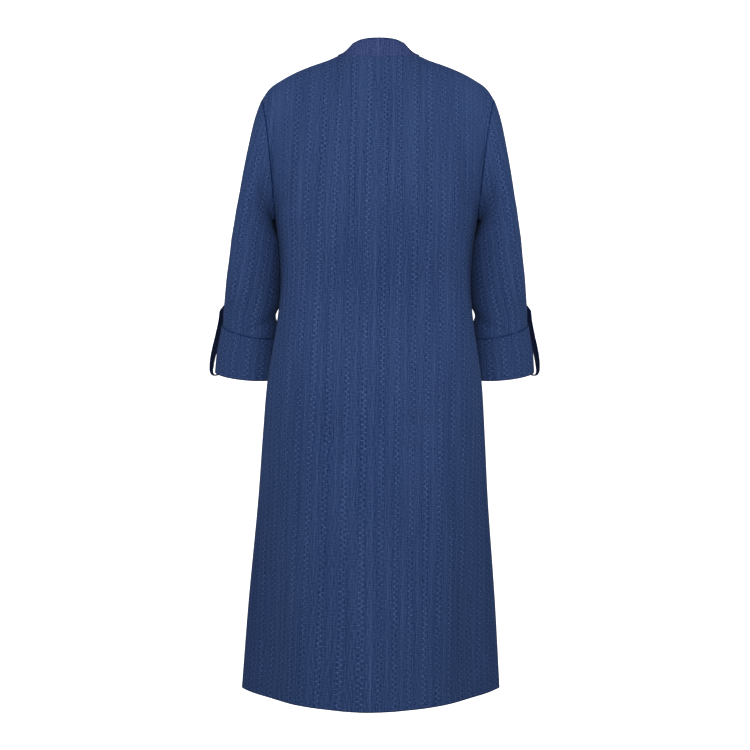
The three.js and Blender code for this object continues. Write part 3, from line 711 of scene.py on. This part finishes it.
def button_material():
    s = Shader("button_navy", Roughness=0.32, Specular_IOR_Level=0.12)
    s.surface.inputs["Specular Tint"].default_value = (0.35, 0.55, 1, 1)
    where = s.add("ShaderNodeTexCoord").outputs["Object"]
    streaks = {"Vector": where, "Scale": 260.0, "Detail": 4.0, "Distortion": 1.2}
    swirl = s.add("ShaderNodeTexNoise", streaks)
    ramp = s.add("ShaderNodeValToRGB", {"Fac": swirl.outputs[0]})
    dark, light = ramp.color_ramp.elements
    dark.position = 0.3
    dark.color = (0.002, 0.006, 0.026, 1)
    light.color = (0.006, 0.015, 0.055, 1)
    s.link(ramp.outputs[0], "Base Color")
    return s.material


NAVY = dict(dark=(0.0073, 0.0175, 0.0556), light=(0.0305, 0.0524, 0.1265))
COLLAR_NAVY = dict(dark=(0.0102, 0.0194, 0.0635), light=(0.043, 0.0572, 0.144))
# Painted shade: the tabs use the same navy cloth made darker, for the shadow they hang in beside the
# sleeves.
TAB_NAVY_PAINTED_SHADE = dict(dark=(0.0052, 0.0102, 0.040), light=(0.0215, 0.032, 0.088))
main_cloth = cloth("navy_zigzag_cloth", **NAVY)
edged_cloth = cloth("navy_zigzag_stitched", **NAVY, stitch=0.005)
collar_cloth = cloth("navy_collar_cloth", **COLLAR_NAVY, pattern=0.4, stitch=0.0035)
tab_cloth_painted_shade = cloth("navy_tab_cloth", **TAB_NAVY_PAINTED_SHADE, pattern=0.6, stitch=0.004)
buttons = button_material()
THREAD_NAVY = (0.02, 0.035, 0.09, 1)
thread = Shader("navy_thread", Roughness=0.8, Specular_IOR_Level=0.1, Base_Color=THREAD_NAVY).material


# Pieces


def declare(grid, closed=False):
    """Works out the longest way across and along the piece, and its area, but passes them on nowhere."""
    loop = np.concatenate([grid, grid[:1]], 0) if closed else grid
    width = lengths(loop, 0)[-1].max() / 1000
    length = lengths(grid, 1)[:, -1].max() / 1000
    area = min(flat_area(grid, closed) / 1e6, width * length)


FAN = 0.03  # the left half's stripes lean out by this much for each mm down

lower_rows = finer((HEM_Z, UNDERARM_Z), 7.5)[:-1]
upper_rows = np.concatenate([[0.0, 0.006], np.linspace(0, 1, 46)[1:-1], [0.993, 1.0]])


def panel(lower, upper):
    return np.concatenate([lower(lower_rows[None, :]), upper(upper_rows[None, :])], 1)


def seam_inner(grid, side_columns, behind):
    """The inner face of a panel, with the cloth's thickness kept in the seam's plane at its seams. At
    the side and shoulder seams the inner faces nearly meet, so no light comes through."""
    inner = grid - grid_normals(grid, False) * WALL
    low = len(lower_rows)
    toward = (-1 if behind else 1) * (SEAM / 2 - CLOSED)
    for column in side_columns:
        side = np.sign(grid[column, 0, 0])
        inner[column, :low] = grid[column, :low] + at(-side * WALL, toward, 0)
        inward = armhole_inward(1 - upper_rows, behind) * at(side, 1, 1)
        inner[column, low:] = grid[column, low:] + inward * WALL
    ridge = np.abs(grid[:, -1, 0]) > NECK_X - 0.5
    inner[ridge, -1, 1:] = grid[ridge, -1, 1:] + np.array([toward, -WALL])
    return inner


EASE_REACH = 60  # how far along a panel its bend is rounded
EASE_WIDTH = 24  # how far the mean that rounds it spreads


def eased(grid, inside):
    """Rounds a panel's bend at the height of the underarm, where inside is above 0."""
    reach = np.linspace(-EASE_REACH, EASE_REACH, 31)
    weights = np.exp(-((reach / EASE_WIDTH) ** 2))
    rounded = grid.copy()
    for column, run in enumerate(lengths(grid, 1)):
        depth = grid[column, :, 1]
        mean = np.interp(run[:, None] + reach, run, depth) @ weights / weights.sum()
        near = np.exp(-(((run - run[len(lower_rows)]) / EASE_REACH) ** 2)) * inside[column]
        rounded[column, :, 1] = mix(depth, mean, near)
    return rounded


def hanging(grid, forms, sides):
    """Adds the soft forms of a hanging panel, fading out at its side seams and along its top at the
    shoulders and neckline.
    """
    across = lengths(grid, 0)
    fade = np.ones(grid.shape[:2])
    if "first" in sides:
        fade = fade * step(across, 0, 26)
    if "last" in sides:
        fade = fade * step(across[-1:] - across, 0, 26)
    grid = eased(grid, fade)
    x, z = grid[..., 0], grid[..., 2]
    along = lengths(grid, 1)
    fade = fade * step(along[:, -1:] - along, 0, 30)
    push = (bumps(forms, x, z) + rumple(x, z)) * fade
    return grid + grid_normals(grid, False) * push[..., None]


def cut_place(grid, middle, fan):
    """The cloth's own coordinates: sideways from the middle column, and distance up it. Above the
    underarm the stripes keep the sideways place that they have there, so they run straight up."""
    across = lengths(grid, 0)
    across = across - across[middle]
    low = len(lower_rows)
    if grid.shape[1] > low:
        order = np.argsort(grid[:, low, 0])
        x, run = grid[order, low, 0], across[order, low]
        beyond = grid[:, low:, 0] - np.clip(grid[:, low:, 0], x[0], x[-1])
        along_x = 1 if run[-1] > run[0] else -1
        across[:, low:] = np.interp(grid[:, low:, 0], x, run) + along_x * beyond
    along = lengths(grid, 1)
    fade = np.clip(np.sign(grid[..., 0]) * np.abs(across) / 100, 0, 1)
    toward = np.sign(grid[-1, 0, 0] - grid[0, 0, 0])
    return np.stack([across + fan * fade * grid[..., 2] * toward, along], -1)


def make_back():
    share = np.linspace(-1, 1, 2 * BACK_SIDE["columns"] + 1)
    edge = 1 - 0.0035
    share = np.concatenate([[-1, -edge], share[1:-1], [edge, 1]])[:, None]
    flip = np.where(share > 0, -1, 1)[..., None] * at(1, 0, 0) + at(0, 1, 1)
    grid = panel(
        lambda z: body_point(z, 90 * (1 - np.abs(share))) * flip,
        lambda t: back_column(np.abs(share), t) * flip,
    )
    grid[..., 1] += SEAM / 2
    grid = hanging(grid, BACK_FORMS, ("first", "last"))
    inner = seam_inner(grid, (0, -1), True)
    middle = len(share) // 2
    grain = cut_place(grid, middle, FAN)
    piece = wall("back_panel", grid, inner, grain, main_cloth, seamless="top")
    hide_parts("back")
    declare(grid)


def make_front(name, side, on_top):
    share = np.linspace(0, 1, FRONT_SIDE["columns"] + 1)
    share = np.concatenate([[0, 0.006], share[1:-1], [0.994, 1]])[:, None]

    def placed(p):
        lift = LAP_LIFT * (1 - step(p[..., 0], LAP + 5, LAP + 50)) if on_top else 0
        return at(side * p[..., 0], p[..., 1] - SEAM / 2 - lift, p[..., 2])

    grid = panel(
        lambda z: placed(body_point(z, front_angle(z, share))),
        lambda t: placed(front_column(share, t)),
    )
    grid = grid if side > 0 else grid[::-1]
    grid = hanging(grid, FRONT_FORMS, ("last",) if side > 0 else ("first",))
    inner = seam_inner(grid, (-1,) if side > 0 else (0,), False)
    grain = cut_place(grid, 0 if side > 0 else -1, 0)
    piece = wall(name + "_panel", grid, inner, grain, edged_cloth)
    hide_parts(name)
    declare(grid)


def make_collar():
    stations = np.linspace(0, 6, 49)
    corner = stations <= COLLAR_CORNER
    a = read_station(COLLAR_TOP[: COLLAR_CORNER + 1], stations)
    b = read_station(COLLAR_TOP[COLLAR_CORNER:], stations - COLLAR_CORNER)
    top = at(*(np.where(corner, a[c], b[c]) for c in "xyz"))
    seam = read_station(BACK_NECK, np.minimum(stations, 5.88))
    foot = at(seam["x"], seam["y"] + SEAM / 2, seam["z"] + 0.1)
    rise = np.concatenate([[0, 0.05], np.linspace(0, 1, 8)[1:-1], [0.95, 1]])
    half = blend(foot[:, None], top[:, None], np.tile(rise, (len(stations), 1)))
    grid = np.concatenate([half[::-1], half[1:] * np.array([-1, 1, 1])])
    inner = grid - grid_normals(grid, False) * DOUBLE
    inner[:, 0, 2] -= COLLAR_FACING
    grain = cut_place(grid, len(stations) - 1, 0)
    piece = wall("collar_stand", grid, inner, grain, collar_cloth, seamless="foot")
    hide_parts("collar")
    declare(grid)


def arm_angle(points):
    """Angle of points round the arm's middle line, which leans in from the first ring to the shoulder."""
    x, y, z = np.moveaxis(points, -1, 0)
    first = SLEEVE[0]
    up = (z - CAP_Z) / (SHOULDER[-1]["z"] - CAP_Z)
    across = x - mix(first["cx"], TIP_X - first["rx"], up)
    along = y - mix(first["cy"], 0, up)
    return np.degrees(np.arctan2(along / first["ry"], across / first["rx"]))


def ring_grain(grid, rows, cap=None):
    """The cloth's coordinates on a sleeve or cuff: distance round from the outermost line either way.
    From row cap up, each stripe goes on at its angle round the arm."""
    loop = np.concatenate([grid, grid[:1]], 0)
    across = lengths(loop, 0)
    ring_row = read(SLEEVE, "z", rows)
    outermost = np.arctan(ring_row["ry"] / ring_row["rx"] * np.tan(np.radians(ring_row["turn"])))
    places = outermost / (2 * math.pi) * len(grid)
    for row, place in enumerate(places):
        across[:, row] -= np.interp(place, np.arange(len(loop)), across[:, row])
    front = np.arange(len(loop))[:, None] > len(grid) // 2
    if cap:
        ring = across[:, cap - 1]
        size = ring[-1] - ring[0]
        base = np.unwrap(arm_angle(loop[:, cap - 1]), period=360)
        turned = base[:, None] + np.mod(arm_angle(loop[:, cap:]) - base[:, None] + 180, 360) - 180
        angles = np.concatenate([base[:-1] - 360, base, base[1:] + 360])
        places = np.concatenate([ring[:-1] - size, ring, ring[1:] + size])
        across[:, cap:] = np.interp(turned, angles, places) + across[0, cap - 1] - ring[0]
    across -= np.where(front, across[-1:] - across[:1], 0)
    return np.stack([across, lengths(loop, 1)], -1)


def make_sleeve(name, side):
    arm_rows = finer((SLEEVE_END, CAP_Z), 5.5)
    cap_rows = np.linspace(1, 0, 31)[1:]
    grid, loop = sleeve_grid(RING_COLUMNS, arm_rows, cap_rows)
    inner = grid - grid_normals(grid, True) * WALL
    gap = armhole_gap(loop["down"]) - CLOSED
    inner[:, -1] = grid[:, -1] + loop["inward"] * WALL - loop["off"] * gap
    grain = ring_grain(grid, arm_rows, len(arm_rows))
    if side < 0:
        grid, inner, grain = mirrored(grid), mirrored(inner), grain[::-1]
    piece = wall(name + "_tube", grid, inner, grain, main_cloth, closed=True)
    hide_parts(name)
    declare(grid, closed=True)


def make_cuff(name, side):
    rows = finer((ARM_END, ARM_END + CUFF_HEIGHT), 5)
    angle = np.arange(RING_COLUMNS) / RING_COLUMNS * 360
    rise = (rows[None, :] - ARM_END) / CUFF_HEIGHT
    slope = CUFF_SLOPE * np.cos(np.radians(angle))[:, None] * rise
    grid = arm_point(rows[None, :] + slope, angle[:, None], SEAM + WALL)
    inner = grid - grid_normals(grid, True) * WALL
    grain = ring_grain(grid, rows)
    if side < 0:
        grid, inner, grain = mirrored(grid), mirrored(inner), grain[::-1]
    piece = wall(name + "_band", grid, inner, grain, main_cloth, closed=True)
    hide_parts(name)
    declare(grid, closed=True)


def tab_line(count):
    """The tab's middle line, the way across it and the way out of its face, at even stations."""
    row = read_station(TAB, np.linspace(0, len(TAB) - 1, count))
    turn = row["turn"]
    z = ARM_END - np.minimum(row["down"], 0)
    base = arm_point(z, -turn)
    away = at(np.cos(np.radians(turn)), -np.sin(np.radians(turn)), 0)
    along = unit(arm_point(ARM_END, -turn) - arm_point(ARM_END + 20, -turn))
    centre = base + away * row["out"][:, None] + along * np.maximum(row["down"], 0)[:, None]
    across = at(np.sin(np.radians(turn)), np.cos(np.radians(turn)), 0)
    face = unit(np.cross(np.gradient(centre, axis=0), across))
    return centre, across, face


def make_tab(name, side):
    centre, across, face = tab_line(TAB_STATIONS)
    run = np.concatenate([[0], np.cumsum(np.linalg.norm(np.diff(centre, axis=0), axis=1))])
    left = run[-1] - run
    half = TAB_WIDTH / 2 * np.clip(0.16 + 0.84 * left / 9.5, 0, 1)
    shares = np.array([-1, -0.94, -0.6, -0.2, 0.2, 0.6, 0.94, 1])
    mid = centre[None] + across[None] * (shares[:, None] * half)[..., None]
    puff = 1 - 0.35 * np.abs(shares[:, None, None]) ** 8
    grid = mid + face[None] * DOUBLE / 2 * puff
    inner = mid - face[None] * DOUBLE / 2 * puff
    grain = np.stack([shares[:, None] * half[None], np.tile(run, (len(shares), 1))], -1)
    k = TAB_STATIONS // 2
    if np.dot(np.cross(across[k], np.gradient(centre, axis=0)[k]), face[k]) < 0:
        grid, inner, grain = grid[::-1], inner[::-1], grain[::-1]
    if side < 0:
        grid, inner, grain = mirrored(grid), mirrored(inner), grain[::-1]
    piece = wall(name + "_strap", grid, inner, grain, tab_cloth_painted_shade)
    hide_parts(name)
    declare(grid)


# A button's outline from the rim of its foot over the rim to the dished face, in shares of its
# radius and height
BUTTON_OUTLINE = [
    (0.80, 0),
    (0.97, 0.18),
    (1, 0.42),
    (0.99, 0.7),
    (0.93, 0.93),
    (0.84, 1),
    (0.76, 0.95),
    (0.68, 0.74),
    (0.6, 0.66),
    (0.34, 0.62),
]
BUTTON_SIDES = 40
HOLE_OUT = 0.204  # from the middle to each hole, in shares of the radius
HOLE_RADIUS = 0.085
THREAD_SIZE = (0.42, 0.09, 0.1)  # length and width in radii, thickness in heights


def facing_and_foot(solid):
    """The way that a button's solid faces, and the middle of its flat foot."""
    areas = {}
    for face in solid.data.polygons:
        key = tuple(round(c, 2) for c in face.normal)
        areas[key] = areas.get(key, 0) + face.area
    facing = -Vector(max(areas, key=areas.get)).normalized()
    foot = [face for face in solid.data.polygons if face.normal.dot(-facing) > 0.99]
    total = sum(face.area for face in foot)
    return facing, sum((face.center * face.area for face in foot), Vector()) / total


def button_disc(name, radius, height):
    points, faces = [], []
    for share, rise in BUTTON_OUTLINE:
        for k in range(BUTTON_SIDES):
            a = 2 * math.pi * k / BUTTON_SIDES
            points.append((share * radius * math.cos(a), share * radius * math.sin(a), rise * height))
    rings = len(BUTTON_OUTLINE)
    for ring in range(rings - 1):
        for k in range(BUTTON_SIDES):
            a, b = ring * BUTTON_SIDES + k, ring * BUTTON_SIDES + (k + 1) % BUTTON_SIDES
            faces.append((a, b, b + BUTTON_SIDES, a + BUTTON_SIDES))
    faces.append(tuple(range(BUTTON_SIDES))[::-1])
    faces.append(tuple(range((rings - 1) * BUTTON_SIDES, rings * BUTTON_SIDES)))
    mesh = bpy.data.meshes.new(name)
    mesh.from_pydata(points, [], faces)
    mesh.polygons.foreach_set("use_smooth", np.ones(len(mesh.polygons), bool))
    mesh.materials.append(buttons)
    mesh.materials.append(thread)
    return mesh


def in_thread(made, smooth):
    for vertex in made["verts"]:
        for face in vertex.link_faces:
            face.material_index = 1
            face.smooth = smooth


def make_button(name, node, radius, height):
    """A four-hole button on its node's place, sewn on with crossed thread."""
    facing, origin = facing_and_foot(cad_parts[node])
    mesh = button_disc(name, radius, height)
    shape = bmesh.new()
    shape.from_mesh(mesh)
    for k in range(4):
        a = math.pi / 4 + k * math.pi / 2
        out = HOLE_OUT * radius
        spot = Matrix.Translation((out * math.cos(a), out * math.sin(a), 0.66 * height))
        size = dict(u_segments=10, v_segments=6, radius=HOLE_RADIUS * radius)
        in_thread(bmesh.ops.create_uvsphere(shape, matrix=spot, **size), True)
    length, width, thick = THREAD_SIZE
    for k in range(2):
        lift = Matrix.Translation((0, 0, (0.7 + 0.06 * k) * height))
        turn = Matrix.Rotation(math.pi / 4 + k * math.pi / 2, 4, "Z")
        bar = Matrix.Diagonal((length * radius, width * radius, thick * height, 1))
        in_thread(bmesh.ops.create_cube(shape, size=1, matrix=turn @ lift @ bar), False)
    shape.to_mesh(mesh)
    shape.free()
    stand = facing.to_track_quat("Z", "Y").to_matrix().to_4x4()
    mesh.transform(Matrix.Translation(origin) @ stand)
    piece = bpy.data.objects.new(name, mesh)
    bpy.context.scene.collection.objects.link(piece)
    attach(piece, "root")
    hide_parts(node)


make_back()
make_front("front_left", 1, False)
make_front("front_right", -1, True)
make_collar()
for word, side in (("left", 1), ("right", -1)):
    make_sleeve(f"sleeve_{word}", side)
    make_cuff(f"cuff_{word}", side)
    make_tab(f"tab_{word}", side)
    make_button(f"tab_button_{word}_sewn", f"tab_button_{word}", **TAB_BUTTON)
for number in range(1, FRONT_BUTTONS + 1):
    make_button(f"front_button_{number}_sewn", f"front_button_{number}", **FRONT_BUTTON)


# Camera, floor and light

camera = bpy.data.objects.new("camera", bpy.data.cameras.new("camera"))
camera.data.sensor_width = 36
camera.data.lens = 96
camera.data.clip_end = 100
camera.location = (0.0056, 3.2, -0.509)
camera.rotation_euler = (math.radians(90), 0, math.radians(180))
bpy.context.scene.collection.objects.link(camera)
bpy.context.scene.camera = camera

FLOOR_Z = -1.42


def make_floor():
    """A pale floor that sweeps up into a wall far behind the coat, brighter away from the coat."""
    arc = [(-6 - 2 * math.sin(a), 2 - 2 * math.cos(a)) for a in np.linspace(0, math.pi / 2, 13)]
    profile = [(9.0, 0.0), (0.0, 0.0), (-3.0, 0.0), *arc, (-8.0, 5.6)]
    points = [(x, y, FLOOR_Z + rise) for y, rise in profile for x in (-6.0, 6.0)]
    faces = [(2 * k, 2 * k + 2, 2 * k + 3, 2 * k + 1) for k in range(len(profile) - 1)]
    mesh = bpy.data.meshes.new("floor")
    mesh.from_pydata(points, [], faces)
    mesh.polygons.foreach_set("use_smooth", np.ones(len(mesh.polygons), bool))
    floor = bpy.data.objects.new("floor", mesh)
    pale = (0.82, 0.82, 0.82, 1)
    paint = Shader("pale_floor", Roughness=0.9, Base_Color=pale, Specular_IOR_Level=0.1)
    place = paint.add("ShaderNodeTexCoord").outputs["Object"]
    depth = paint.add("ShaderNodeSeparateXYZ", {"Vector": place}).outputs["Y"]
    paint.link(paint.band(depth, -2.4, -0.8), "Emission Strength")
    paint.surface.inputs["Emission Color"].default_value = (1, 1, 1, 1)
    mesh.materials.append(paint.material)
    bpy.context.scene.collection.objects.link(floor)


make_floor()

world = bpy.data.worlds.new("studio")
world.use_nodes = True
background = world.node_tree.nodes["Background"]
background.inputs["Color"].default_value = (1, 1, 1, 1)
background.inputs["Strength"].default_value = 0.2
bpy.context.scene.world = world


def soft_light(name, place, aim, size, power, spread=180):
    light = bpy.data.lights.new(name, "AREA")
    light.shape = "SQUARE"
    light.size = size
    light.energy = power
    light.spread = math.radians(spread)
    lamp = bpy.data.objects.new(name, light)
    lamp.location = place
    lamp.rotation_euler = (Vector(aim) - Vector(place)).to_track_quat("-Z", "Y").to_euler()
    bpy.context.scene.collection.objects.link(lamp)
    lamp.visible_camera = False


for side in (1, -1):
    at_arm = (0.24 * side, 0, -0.25)
    soft_light(f"behind_{side}", (1.8 * side, 2.1, 1.4), (0, 0, -0.1), 1.2, 41)
    soft_light(f"beside_{side}", (1.3 * side, 0.3, 0.5), at_arm, 0.5, 1.1, spread=50)
    soft_light(f"before_{side}", (1.7 * side, -3.0, 0.9), (0, 0, -0.3), 1.2, 20)
soft_light("fill", (0, 4.2, 0.35), (0, 0, -0.2), 1.6, 32, spread=80)

bpy.context.scene.view_settings.view_transform = "Standard"
